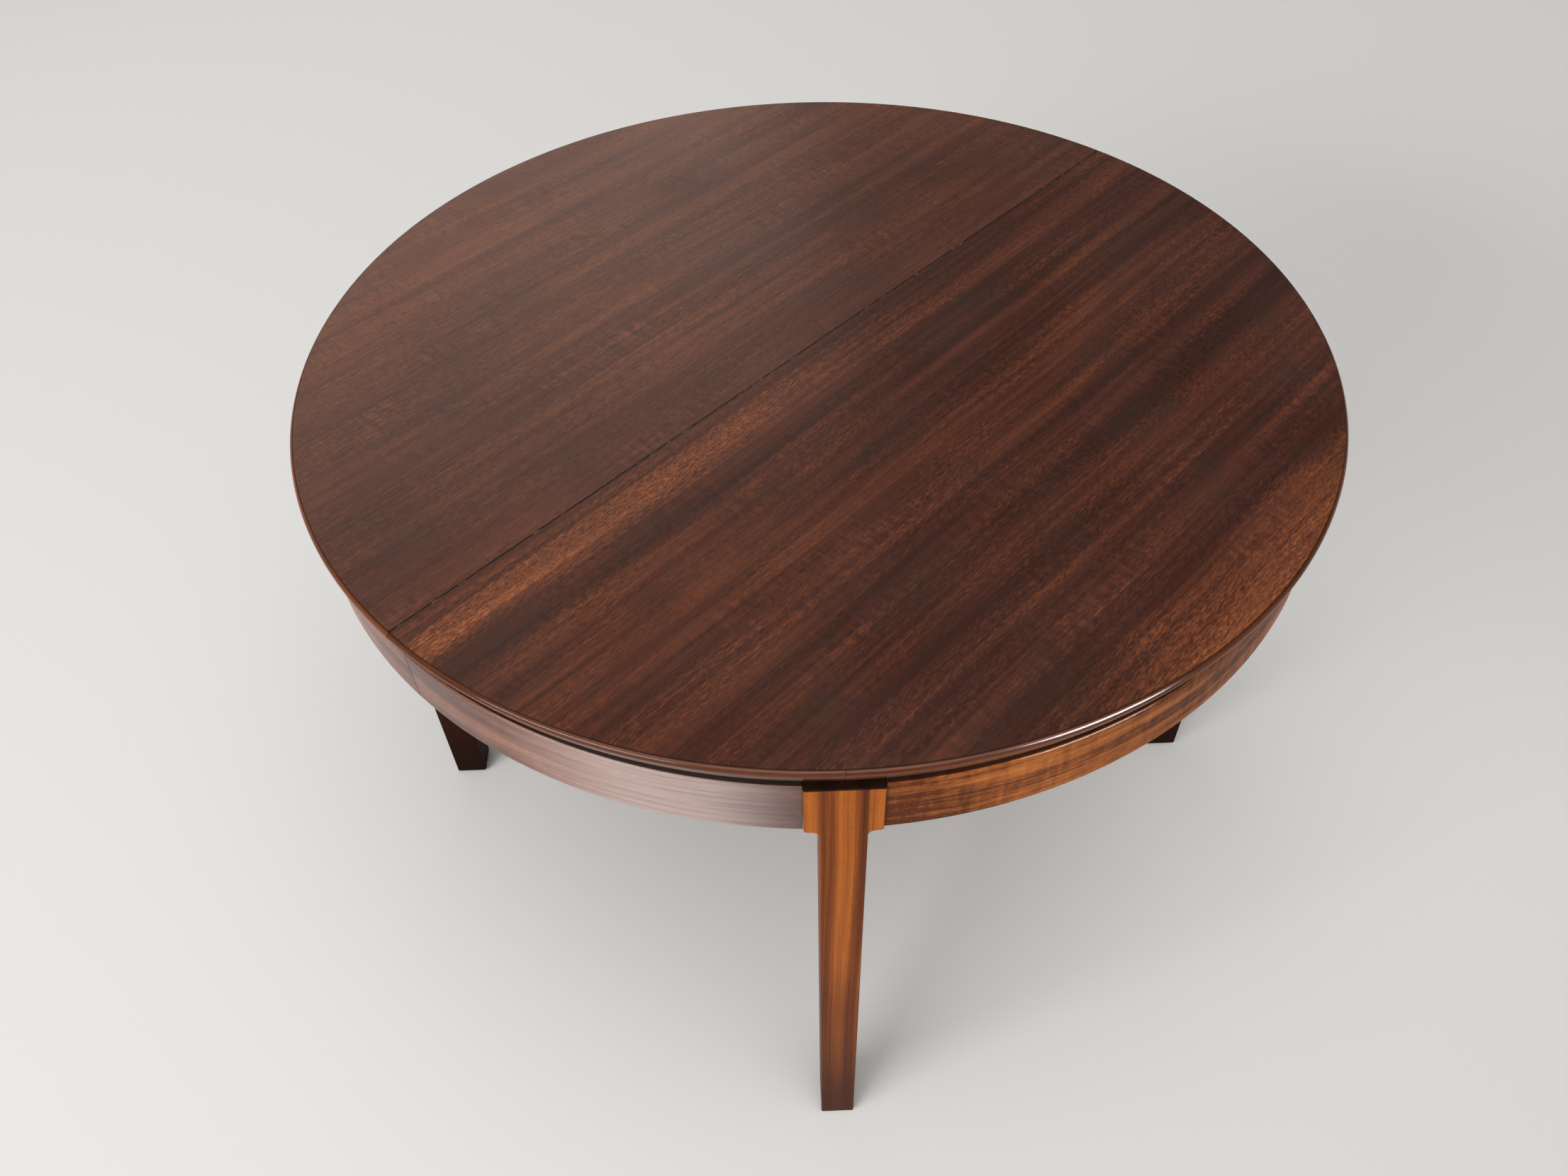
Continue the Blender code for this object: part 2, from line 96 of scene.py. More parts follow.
def cloud(tree, vector, detail=2.0, roughness=0.5, distortion=0.0):
    sockets = {"Vector": vector, "Scale": 1.0, "Detail": detail, "Roughness": roughness,
               "Distortion": distortion}
    return put(tree, "TexNoise", sockets).outputs["Fac"]


def fade(tree, value, start, end, low=0.0, high=1.0):
    # Runs smoothly from low to high as value goes from start to end.
    sockets = {"Value": value, "From Min": start, "From Max": end, "To Min": low, "To Max": high}
    return put(tree, "MapRange", sockets, interpolation_type="SMOOTHSTEP").outputs[0]


def tones(tree, value, stops):
    # Turns a value into a colour; stops is a list of (place, colour).
    node = put(tree, "ValToRGB", {"Fac": value})
    ramp = node.color_ramp
    while len(ramp.elements) < len(stops):
        ramp.elements.new(0.5)
    for element, (place, colour) in zip(ramp.elements, stops):
        element.position = place
        element.color = (*colour, 1.0)
    return node.outputs["Color"]


def mixed(tree, share, a, b, how="MIX"):
    colours = [(*v, 1.0) if isinstance(v, tuple) else v for v in (a, b)]
    node = put(tree, "Mix", {0: share, 6: colours[0], 7: colours[1]},
               data_type="RGBA", blend_type=how)
    return node.outputs[2]


def new_finish(name, **shader_values):
    mat = bpy.data.materials.new(name)
    mat.use_nodes = True
    tree = mat.node_tree
    shader = tree.nodes["Principled BSDF"]
    for key, value in shader_values.items():
        shader.inputs[key.replace("_", " ")].default_value = value
    return mat, tree, shader


def relief(tree, shader, height, strength, distance):
    sockets = {"Height": height, "Strength": strength, "Distance": distance}
    tree.links.new(put(tree, "Bump", sockets).outputs[0], shader.inputs["Normal"])


def sway(tree, tone, noise, weight):
    # Moves a tone up and down by a noise that is centred on a half.
    return calc(tree, "MULTIPLY_ADD", calc(tree, "SUBTRACT", noise, 0.5), weight, tone)


def rosewood_face(name, near_half):
    # The face veneer: flat-toned streaks and fine fibre along Y, short slanting flecks, soft
    # grey-green clouds and patches of cross ripple. The near half has a bright flecked streak
    # beside the seam and pale wood at its outer rim.
    mat, tree, shader = new_finish(name, Specular_IOR_Level=0.42, Coat_Weight=0.18,
                                   Coat_Roughness=0.20)
    place = put(tree, "TexCoord").outputs["Object"]
    wander = cloud(tree, stretched(tree, place, (2.2, 1.6, 1.0)), 2.0)
    axes = put(tree, "SeparateXYZ", {0: place}).outputs
    across = sway(tree, axes[0], wander, 0.026)
    along = axes[1]
    leaf_place = calc(tree, "DIVIDE", across, veneer_leaf)
    leaf = calc(tree, "FLOOR", leaf_place)
    in_leaf = calc(tree, "MULTIPLY", calc(tree, "FRACT", leaf_place), veneer_leaf)
    drift = calc(tree, "MULTIPLY", leaf, 0.37)
    grain = put(tree, "CombineXYZ", {0: in_leaf, 1: along, 2: drift}).outputs[0]
    sheet = 3.1 if near_half else 7.7
    plain = put(tree, "CombineXYZ", {0: across, 1: along, 2: sheet}).outputs[0]

    # Broad streaks with flat tones and fairly crisp edges, then finer ones, then fibre
    broad = fade(tree, cloud(tree, stretched(tree, grain, (30.0, 0.8, 1.0)), 1.0), 0.38, 0.62)
    band = fade(tree, cloud(tree, stretched(tree, plain, (85.0, 1.5, 1.0)), 2.0, 0.6), 0.40, 0.60)
    line = cloud(tree, stretched(tree, plain, (300.0, 5.0, 1.0)), 3.0, 0.6)
    fibre = cloud(tree, stretched(tree, plain, (900.0, 16.0, 1.0)), 3.0, 0.65)
    slow = cloud(tree, stretched(tree, plain, (5.0, 3.2, 1.0)), 2.0)
    # The near half's lower base tone is painted shade and the far half's higher one painted light;
    # both halves are one veneer
    base_tone, broad_depth, band_depth = (0.42, 0.13, 0.10) if near_half else (0.49, 0.06, 0.05)
    tone = sway(tree, base_tone, broad, broad_depth)
    tone = sway(tree, tone, band, band_depth)
    tone = sway(tree, tone, line, 0.26)
    tone = sway(tree, tone, fibre, 0.20)
    tone = sway(tree, tone, slow, 0.25)

    # Short flecks, light and dark, where the fibres turn towards the surface
    slant = calc(tree, "MULTIPLY_ADD", along, 0.07, across)
    slanted = put(tree, "CombineXYZ", {0: slant, 1: along, 2: sheet + 2.0}).outputs[0]
    fleck = cloud(tree, stretched(tree, slanted, (620.0, 125.0, 1.0)), 3.0, 0.65, 0.5)
    fleck = fade(tree, fleck, 0.28, 0.72)
    thick = cloud(tree, stretched(tree, grain, (38.0, 5.0, 1.0), (5.0, 2.0, 0.0)), 2.0)
    thick = fade(tree, thick, 0.36, 0.64, 0.10, 0.32 if near_half else 0.22)

    # Cross ripple in patches
    ripple = cloud(tree, stretched(tree, plain, (42.0, 150.0, 1.0)), 1.0, 0.4, 0.9)
    ripple_patch = cloud(tree, stretched(tree, grain, (24.0, 7.0, 1.0), (1.0, 9.0, 0.0)), 1.0)
    ripple_patch = fade(tree, ripple_patch, 0.50, 0.68, 0.0, 0.09)
    tone = calc(tree, "ADD", tone, calc(tree, "MULTIPLY", ripple_patch, calc(
        tree, "SUBTRACT", fade(tree, ripple, 0.36, 0.64), 0.55)))

    if near_half:
        # The bright streak runs beside the seam in three strips, fading as it runs back
        strip = sway(tree, across, wander, -0.020)
        strip = calc(tree, "MULTIPLY_ADD", along, 0.012, strip)
        level = fade(tree, strip, 0.0030, 0.0055, 0.0, 0.15)
        level = calc(tree, "ADD", level, fade(tree, strip, 0.0135, 0.0160, 0.0, 0.85))
        level = calc(tree, "SUBTRACT", level, fade(tree, strip, 0.0405, 0.0440, 0.0, 0.45))
        level = calc(tree, "SUBTRACT", level, fade(tree, strip, 0.0540, 0.0580, 0.0, 0.55))
        level = calc(tree, "MULTIPLY", level, fade(tree, along, -0.16, 0.10, 1.0, 0.22))
        tone = calc(tree, "MULTIPLY_ADD", level, 0.22, tone)
        thick = calc(tree, "MULTIPLY_ADD", level, 0.16, thick)
        speck = cloud(tree, stretched(tree, slanted, (760.0, 330.0, 1.0)), 2.0, 0.6, 0.4)
        speck = calc(tree, "MULTIPLY", fade(tree, speck, 0.52, 0.64), level)
        tone = calc(tree, "MULTIPLY_ADD", speck, -0.16, tone)
        rim = fade(tree, across, 0.44, 0.50)
        rim = calc(tree, "MULTIPLY", rim, fade(tree, along, -0.38, -0.12))
        rim = calc(tree, "MULTIPLY", rim, fade(tree, along, 0.12, 0.30, 1.0, 0.25))
        tone = calc(tree, "MULTIPLY_ADD", rim, 0.24, tone)
        thick = calc(tree, "MULTIPLY_ADD", rim, 0.16, thick)
    else:
        # The far rim is painted lighter: painted light on the side towards the window
        tone = calc(tree, "ADD", tone, fade(tree, across, -0.05, -0.52, 0.0, 0.12))
    tone = calc(tree, "MULTIPLY_ADD", calc(tree, "SUBTRACT", fleck, 0.5), thick, tone)
    # The near half is painted warmer than the far one: with its lower base tone, it is the shaded
    # copy of the one veneer
    green, blue = (0.88, 0.76) if near_half else (1.0, 1.0)
    colour = tones(tree, tone, [
        (0.15, (0.016, 0.0050 * green, 0.0034 * blue)),
        (0.36, (0.034, 0.0100 * green, 0.0062 * blue)),
        (0.52, (0.066, 0.0205 * green, 0.0112 * blue)),
        (0.72, (0.140, 0.0450 * green, 0.0190 * blue)),
        (0.95, (0.290, 0.1080 * green, 0.0400 * blue)),
    ])
    clouds = cloud(tree, stretched(tree, plain, (17.0, 8.0, 1.0), (4.0, 1.0, 0.0)), 2.0)
    cloud_depth = 0.45 if near_half else 0.28
    clouds = fade(tree, clouds, 0.50, 0.72, 0.0, cloud_depth)
    colour = mixed(tree, clouds, colour, (0.024, 0.0115, 0.0080))

    # Pores: fine dark dashes along the grain
    pore = cloud(tree, stretched(tree, plain, (1500.0, 70.0, 1.0)), 2.0, 0.7)
    pore = fade(tree, pore, 0.58, 0.70, 0.0, 0.50)
    colour = mixed(tree, pore, colour, (0.018, 0.006, 0.004))
    # Dark glue line between leaves
    joint = calc(tree, "ABSOLUTE", calc(tree, "SUBTRACT", calc(tree, "FRACT", leaf_place), 0.5))
    joint = fade(tree, joint, 0.4960, 0.4990, 0.0, 0.20)
    colour = mixed(tree, joint, colour, (0.022, 0.008, 0.005))
    # Painted shade darkens the veneer along the seam, where the narrow gap between the halves lies
    # in shadow
    seam_shade = fade(tree, calc(tree, "ABSOLUTE", axes[0]), 0.0005, 0.0013, 0.90, 0.0)
    colour = mixed(tree, seam_shade, colour, (0.012, 0.006, 0.004))
    tree.links.new(colour, shader.inputs["Base Color"])

    sheen = cloud(tree, stretched(tree, plain, (9.0, 7.0, 1.0)), 3.0)
    rough = fade(tree, sheen, 0.30, 0.70, 0.32, 0.40)
    rough = calc(tree, "MULTIPLY_ADD", pore, 0.25, rough)
    tree.links.new(rough, shader.inputs["Roughness"])
    relief(tree, shader, calc(tree, "MULTIPLY_ADD", pore, -1.0, fibre), 0.10, 0.0004)
    return mat


def finish_piece(name, bm, mat, body, slot, *nodes, sharp=32.0):
    # Makes the object, shades it smooth with crisp arrises, and fixes it to its body.
    bmesh.ops.recalc_face_normals(bm, faces=bm.faces)
    mesh = bpy.data.meshes.new(name)
    bm.to_mesh(mesh)
    bm.free()
    mesh.materials.append(mat)
    mesh.shade_smooth()
    mesh.set_sharp_from_angle(angle=math.radians(sharp))
    piece = bpy.data.objects.new(name, mesh)
    bpy.context.scene.collection.objects.link(piece)
    piece.modifiers.new("flat_faces", "WEIGHTED_NORMAL").keep_sharp = True
    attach(piece, body)
    if nodes:
        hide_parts(*nodes)
    return piece


def skin(rings):
    # Joins rings of points, each the same length, into a closed skin with capped ends.
    bm = bmesh.new()
    rows = [[bm.verts.new(point) for point in ring] for ring in rings]
    count = len(rows[0])
    for one, two in zip(rows, rows[1:]):
        for i in range(count):
            j = (i + 1) % count
            bm.faces.new((one[i], one[j], two[j], two[i]))
    bm.faces.new(rows[0])
    bm.faces.new(rows[-1])
    return bm


arc_steps = 240


def veneer_sheet(side):
    # A half-moon sheet. Its straight edge wanders by tenths of a millimetre where the veneer
    # has chipped.
    chips = random.Random(11 if side > 0 else 23)
    chip_chance = 0.10
    chip_least, chip_most = 0.0003, 0.0011
    chip_taper = 0.45
    radius = veneer_radius
    turn = math.pi / 2.0 - math.asin(seam_edge / radius)
    outline = []
    for i in range(arc_steps + 1):
        angle = -turn + 2.0 * turn * i / arc_steps
        outline.append((radius * math.cos(angle), radius * math.sin(angle)))
    edge_steps = 420
    reach = radius * math.sin(turn)
    depth = 0.0
    for i in range(1, edge_steps):
        y = reach - 2.0 * reach * i / edge_steps
        if chips.random() < chip_chance:
            depth = chips.uniform(chip_least, chip_most)
        depth *= chip_taper
        outline.append((seam_edge + depth, y))
    return skin([[(side * x, side * y, z) for x, y in outline] for z in (veneer_low.z, top_height)])


for half, side in (("near", 1.0), ("far", -1.0)):
    finish_piece(f"veneered_top_{half}", veneer_sheet(side),
                 rosewood_face(f"rosewood_face_{half}", half == "near"),
                 half + "_half", "top_veneer", "top_veneer_" + half, sharp=20.0)


# ------------------------------------------------------------------ the lipping
# Solid rosewood edge band, glued round the core in lengths that butt over the legs. It is
# rounded to a nose just under the face and falls back towards the underside.
lip_low, lip_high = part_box("lipping_near_2")
nose_radius = lip_high.x
core_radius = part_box("top_core_near")[1].x
lap_radius = veneer_radius + 0.0003
leg_turn = math.radians(45.0)


def arc_place(tree, radius):
    # Grain that runs round the table: distance along the rim, height, distance from the axis.
    place = put(tree, "TexCoord").outputs["Object"]
    axes = put(tree, "SeparateXYZ", {0: place}).outputs
    angle = calc(tree, "ARCTAN2", axes[1], axes[0])
    out = put(tree, "VectorMath", {0: place}, operation="MULTIPLY")
    out.inputs[1].default_value = (1.0, 1.0, 0.0)
    length = put(tree, "VectorMath", {0: out.outputs[0]}, operation="LENGTH").outputs["Value"]
    return put(tree, "CombineXYZ", {0: calc(tree, "MULTIPLY", angle, radius), 1: axes[2],
                                    2: length}).outputs[0], axes


def lipping_finish(name, dark, light, seed):
    mat, tree, shader = new_finish(name, Specular_IOR_Level=0.10, Coat_Weight=0.22,
                                   Coat_Roughness=0.08)
    place, axes = arc_place(tree, nose_radius)
    shift = (seed, seed * 0.7, 0.0)
    streak = cloud(tree, stretched(tree, place, (7.0, 420.0, 300.0), shift), 3.0, 0.6)
    fibre = cloud(tree, stretched(tree, place, (60.0, 2200.0, 1500.0), shift), 3.0, 0.6)
    tone = calc(tree, "MULTIPLY_ADD", fibre, 0.45, calc(tree, "MULTIPLY", streak, 0.75))
    colour = tones(tree, tone, [(0.40, dark), (0.80, light)])
    # Dark line where the veneer's cut edge meets the solid wood: partly the dark joint, partly
    # painted shade on the start of the lip's rounding
    line = fade(tree, put(tree, "SeparateXYZ", {0: place}).outputs[2],
                lap_radius + 0.0003, lap_radius + 0.0009, 0.80, 0.0)
    colour = mixed(tree, line, colour, (0.016, 0.006, 0.004))
    pore = fade(tree, fibre, 0.60, 0.70, 0.0, 0.4)
    colour = mixed(tree, pore, colour, (0.020, 0.007, 0.004))
    tree.links.new(colour, shader.inputs["Base Color"])
    rough = fade(tree, streak, 0.3, 0.7, 0.17, 0.26)
    tree.links.new(rough, shader.inputs["Roughness"])
    relief(tree, shader, fibre, 0.06, 0.0003)
    return mat


def arc_piece(profile, start, end, step, ease):
    # Sweeps an (r, z) profile from one angle to the other. start and end give the angle at a
    # radius. The last ring at each end is drawn in by ease, so joints show as fine lines.
    middle_r = sum(r for r, _ in profile) / len(profile)
    middle_z = sum(z for _, z in profile) / len(profile)
    drawn_in = []
    for r, z in profile:
        inward = Vector((middle_r - r, middle_z - z))
        move = inward.normalized() * min(ease, inward.length)
        drawn_in.append((r + move.x, z + move.y))
    widest = max(r for r, _ in profile)
    steps = max(2, round((end(widest) - start(widest)) / step))
    lead = ease / widest
    stations = [(drawn_in, 0.0, 0.0), (profile, 0.0, lead)]
    for i in range(1, steps):
        stations.append((profile, i / steps, 0.0))
    stations += [(profile, 1.0, -lead), (drawn_in, 1.0, 0.0)]
    rings = []
    for shape, share, nudge in stations:
        ring = []
        for (r, z), (full_r, _) in zip(shape, profile):
            angle = start(full_r) * (1.0 - share) + end(full_r) * share + nudge
            ring.append((r * math.cos(angle), r * math.sin(angle), z))
        rings.append(ring)
    return skin(rings)


def round_corner(centre, radius, start, end, steps):
    # Points round a corner of a profile, between two angles in degrees.
    points = []
    for i in range(steps + 1):
        angle = math.radians(start + (end - start) * i / steps)
        points.append((centre[0] + radius * math.cos(angle), centre[1] + radius * math.sin(angle)))
    return points


def at_seam(sign):
    return lambda r: sign * (math.pi / 2.0 - math.asin(seam_edge / r))


def straight(angle):
    return lambda r: angle


glue_gap = 0.0003
underside = lip_low.z
under_lap = veneer_low.z - 0.0001
inner_lip = core_radius + glue_gap
nose_round = 0.0040
nose_drop = 0.0052
under_round = 0.0022
under_setback = 0.0066
fall_angle = -18.0
lip_profile = [(inner_lip, underside), (inner_lip, under_lap), (lap_radius, under_lap),
               (lap_radius, top_height - 0.0003), (lap_radius + 0.0003, top_height - 0.0001)]
lip_profile += round_corner((nose_radius - nose_round, top_height - nose_drop), nose_round,
                            75.0, fall_angle, 7)
lip_profile += round_corner((nose_radius - under_setback, underside + under_round), under_round,
                            fall_angle, -90.0, 4)
butt_gap = 0.00010
butt = butt_gap / nose_radius
lip_ends = [(at_seam(-1.0), straight(-leg_turn - butt)),
            (straight(-leg_turn + butt), straight(leg_turn - butt)),
            (straight(leg_turn + butt), at_seam(1.0))]
arc_step = math.radians(0.75)
# The lengths are one wood. far_3 is painted paler as painted light, and near_1 and near_2 darker as
# painted shade, matched to how each length is lit
lip_tones = {
    "near_1": ((0.025, 0.0068, 0.0032), (0.118, 0.036, 0.012)),
    "near_2": ((0.030, 0.0074, 0.0032), (0.136, 0.035, 0.010)),
    "near_3": ((0.040, 0.0120, 0.0060), (0.150, 0.046, 0.018)),
    "far_1": ((0.040, 0.0120, 0.0060), (0.150, 0.046, 0.018)),
    "far_2": ((0.040, 0.0120, 0.0060), (0.140, 0.044, 0.018)),
    "far_3": ((0.045, 0.0130, 0.0060), (0.190, 0.060, 0.022)),
}
for half, turned_by in (("near", 0.0), ("far", math.pi)):
    for number, (start, end) in enumerate(lip_ends, 1):
        band = arc_piece(lip_profile, start, end, arc_step, 0.00015)
        bmesh.ops.rotate(band, verts=band.verts, matrix=Matrix.Rotation(turned_by, 3, "Z"))
        tag = f"{half}_{number}"
        dark, light = lip_tones[tag]
        finish_piece("edge_band_" + tag, band,
                     lipping_finish("edge_band_wood_" + tag, dark, light, number * 3.7 + turned_by),
                     half + "_half", "lipping", "lipping_" + tag)


# ------------------------------------------------------------------ the apron
# Bent laminated rails faced with rosewood, grain running round the table, rounded along the
# upper edge and eased along the lower one. Each is doweled and glued between two leg blocks
# or between a leg block and the seam.
apron_low, apron_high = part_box("apron_near_2")
apron_outer = apron_high.x
apron_thickness = 0.020
apron_inner = apron_outer - apron_thickness
apron_top = apron_high.z
apron_foot = apron_low.z
block_half_width = 0.0328
upper_round = 0.0022
lower_round = 0.0010


def apron_finish(name, dark, middle, light, seed, figure, lacquer, painted_gleam):
    # figure is the strength of the curl, lacquer the gloss, and the last argument the share of a
    # pale painted reflection of the front window in the lacquer beside the leg.
    mat, tree, shader = new_finish(name, Specular_IOR_Level=0.50 * lacquer,
                                   Coat_Weight=0.20 + 0.12 * lacquer, Coat_Roughness=0.09)
    place, axes = arc_place(tree, apron_outer)
    shift = (seed, seed * 0.31, 0.0)
    broad = cloud(tree, stretched(tree, place, (3.0, 48.0, 30.0), shift), 3.0, 0.55, 0.3)
    streak = cloud(tree, stretched(tree, place, (9.0, 260.0, 60.0), shift), 3.0, 0.6)
    fibre = cloud(tree, stretched(tree, place, (60.0, 1300.0, 60.0), shift), 3.0, 0.6)
    curl = cloud(tree, stretched(tree, place, (95.0, 26.0, 10.0), shift), 1.0, 0.4, 0.7)
    tone = sway(tree, 0.50, broad, 0.75)
    tone = sway(tree, tone, streak, 0.55)
    tone = sway(tree, tone, fibre, 0.30)
    tone = sway(tree, tone, curl, figure)
    # Darker towards the legs and at mid-span: painted shade in the corners beside the leg blocks
    # and where the rail turns from the light
    turn = calc(tree, "SUBTRACT", calc(tree, "ARCTAN2", axes[1], axes[0]), leg_turn)
    from_leg = calc(tree, "MULTIPLY", calc(tree, "PINGPONG", turn, leg_turn), apron_outer)
    tone = calc(tree, "SUBTRACT", tone, fade(tree, from_leg, 0.04, 0.18, 0.24, 0.0))
    tone = calc(tree, "SUBTRACT", tone, fade(tree, from_leg, 0.22, 0.40, 0.0, 0.11))
    colour = tones(tree, tone, [(0.30, dark), (0.50, middle), (0.72, light)])
    # Pores broken into short dashes, some of them filled pale
    pore = cloud(tree, stretched(tree, place, (330.0, 1300.0, 60.0), shift), 2.0, 0.6, 0.4)
    colour = mixed(tree, fade(tree, pore, 0.58, 0.68, 0.0, 0.60), colour, dark)
    colour = mixed(tree, fade(tree, pore, 0.40, 0.30, 0.0, 0.35), colour, light)
    # A pale pinkish patch beside the leg, livelier on the light streaks: a painted reflection of
    # the front window
    if painted_gleam > 0.0:
        window_reflection = calc(tree, "MULTIPLY", fade(tree, from_leg, 0.01, 0.12),
                    fade(tree, from_leg, 0.16, 0.31, painted_gleam, 0.0))
        window_reflection = calc(tree, "MULTIPLY", window_reflection, fade(tree, streak, 0.30, 0.62, 0.75, 1.0))
        colour = mixed(tree, window_reflection, colour, (0.430, 0.350, 0.330))
    # The top face of the rail inside its rounding is painted nearly black: painted shade in the gap
    # under the top. The inside is left paler
    depth = put(tree, "SeparateXYZ", {0: place}).outputs[2]
    on_top = calc(tree, "MULTIPLY",
                  fade(tree, depth, apron_outer - 0.0012, apron_outer - 0.0022),
                  fade(tree, axes[2], apron_top - 0.0008, apron_top - 0.0003))
    colour = mixed(tree, calc(tree, "MULTIPLY", on_top, 0.92), colour, (0.020, 0.009, 0.006))
    inside = fade(tree, depth, apron_inner + 0.004, apron_inner + 0.001, 0.0, 0.6)
    colour = mixed(tree, inside, colour, (0.150, 0.075, 0.040))
    tree.links.new(colour, shader.inputs["Base Color"])
    rough = fade(tree, streak, 0.3, 0.7, 0.26, 0.36)
    tree.links.new(rough, shader.inputs["Roughness"])
    relief(tree, shader, calc(tree, "MULTIPLY_ADD", pore, 1.2, fibre), 0.35, 0.0006)
    return mat


apron_profile = [(apron_inner, apron_foot), (apron_inner, apron_top)]
apron_profile += round_corner((apron_outer - upper_round, apron_top - upper_round), upper_round,
                              90.0, 0.0, 6)
apron_profile += round_corner((apron_outer - lower_round, apron_foot + lower_round), lower_round,
                              0.0, -90.0, 4)


def at_block(leg, side):
    return lambda r: leg + side * math.asin((block_half_width + glue_gap) / r)


apron_ends = [(at_seam(-1.0), at_block(-leg_turn, -1.0)),
              (at_block(-leg_turn, 1.0), at_block(leg_turn, -1.0)),
              (at_block(leg_turn, 1.0), at_seam(1.0))]
# Dark, middle and light colour, strength of the curl, gloss, and share of painted reflection
apron_tones = {
    "near_1": ((0.055, 0.019, 0.012), (0.160, 0.062, 0.038), (0.300, 0.135, 0.090),
               0.10, 0.28, 0.66),
    # near_2's bright orange tones are painted light, where the right lamp falls on this rail
    "near_2": ((0.080, 0.020, 0.006), (0.320, 0.096, 0.022), (0.540, 0.190, 0.042),
               0.24, 0.0, 0.0),
    "near_3": ((0.045, 0.014, 0.007), (0.130, 0.043, 0.018), (0.240, 0.086, 0.034),
               0.15, 0.4, 0.0),
    "far_1": ((0.045, 0.014, 0.007), (0.130, 0.043, 0.018), (0.240, 0.086, 0.034),
              0.15, 0.4, 0.0),
    "far_2": ((0.045, 0.014, 0.007), (0.140, 0.047, 0.020), (0.250, 0.092, 0.038),
              0.20, 0.4, 0.0),
    "far_3": ((0.050, 0.016, 0.009), (0.135, 0.046, 0.026), (0.250, 0.095, 0.055),
              0.12, 0.18, 0.0),
}
for half, turned_by in (("near", 0.0), ("far", math.pi)):
    for number, (start, end) in enumerate(apron_ends, 1):
        rail = arc_piece(apron_profile, start, end, arc_step, 0.0004)
        bmesh.ops.rotate(rail, verts=rail.verts, matrix=Matrix.Rotation(turned_by, 3, "Z"))
        tag = f"{half}_{number}"
        dark, middle, light, figure, lacquer, painted_gleam = apron_tones[tag]
        finish_piece("apron_rail_" + tag, rail,
                     apron_finish("apron_wood_" + tag, dark, middle, light,
                                  number * 2.3 + turned_by, figure, lacquer, painted_gleam),
                     half + "_half", "apron", "apron_" + tag)


# ------------------------------------------------------------------ the legs
# Each leg is sawn from one piece of solid rosewood: a wide block that stands between the
# apron ends, then a shoulder with a small cove, then a square leg with a slight taper.
foot_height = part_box("leg_near_1")[0].z
block_outer = 0.5235
block_inner = 0.4775
foot_outer = 0.5250
foot_inner = 0.4850
leg_half_top = 0.0199
leg_half_foot = 0.0189
cove = 0.009
cove_steps = 12
shank_steps = 8
shelf_fall = 0.0004
arris = 0.0016
foot_break = 0.0012


def leg_section(half_width, outer, inner, z, corner):
    points = []
    for sign_x, sign_y, first in ((1, 1, 0.0), (-1, 1, 90.0), (-1, -1, 180.0), (1, -1, 270.0)):
        x = outer - corner if sign_x > 0 else inner + corner
        y = sign_y * (half_width - corner)
        points += [(px, py, z) for px, py in round_corner((x, y), corner, first, first + 90.0, 3)]
    return points


def leg_solid():
    rings = [leg_section(block_half_width - 0.0012, block_outer - 0.0012, block_inner + 0.0006,
                         apron_top, arris * 0.6),
             leg_section(block_half_width - 0.0003, block_outer - 0.0003, block_inner,
                         apron_top - 0.0005, arris),
             leg_section(block_half_width, block_outer, block_inner, apron_top - 0.0014, arris),
             leg_section(block_half_width, block_outer, block_inner, apron_foot + 0.0006, arris),
             leg_section(block_half_width - 0.0006, block_outer, block_inner, apron_foot, arris)]
    for i in range(cove_steps + 1):
        angle = math.pi / 2.0 * i / cove_steps
        half_width = leg_half_top + cove * (1.0 - math.sin(angle))
        z = apron_foot - shelf_fall - cove * (1.0 - math.cos(angle))
        rings.append(leg_section(half_width, block_outer, block_inner, z, arris))
    cove_end = apron_foot - shelf_fall - cove
    for i in range(1, shank_steps + 1):
        share = i / shank_steps
        z = cove_end + (foot_height + foot_break - cove_end) * share
        rings.append(leg_section(
            leg_half_top + (leg_half_foot - leg_half_top) * share,
            block_outer + (foot_outer - block_outer) * share,
            block_inner + (foot_inner - block_inner) * share, z, arris))
    rings.append(leg_section(leg_half_foot - foot_break, foot_outer - foot_break,
                             foot_inner + foot_break, foot_height, arris * 0.6))
    return skin(rings)


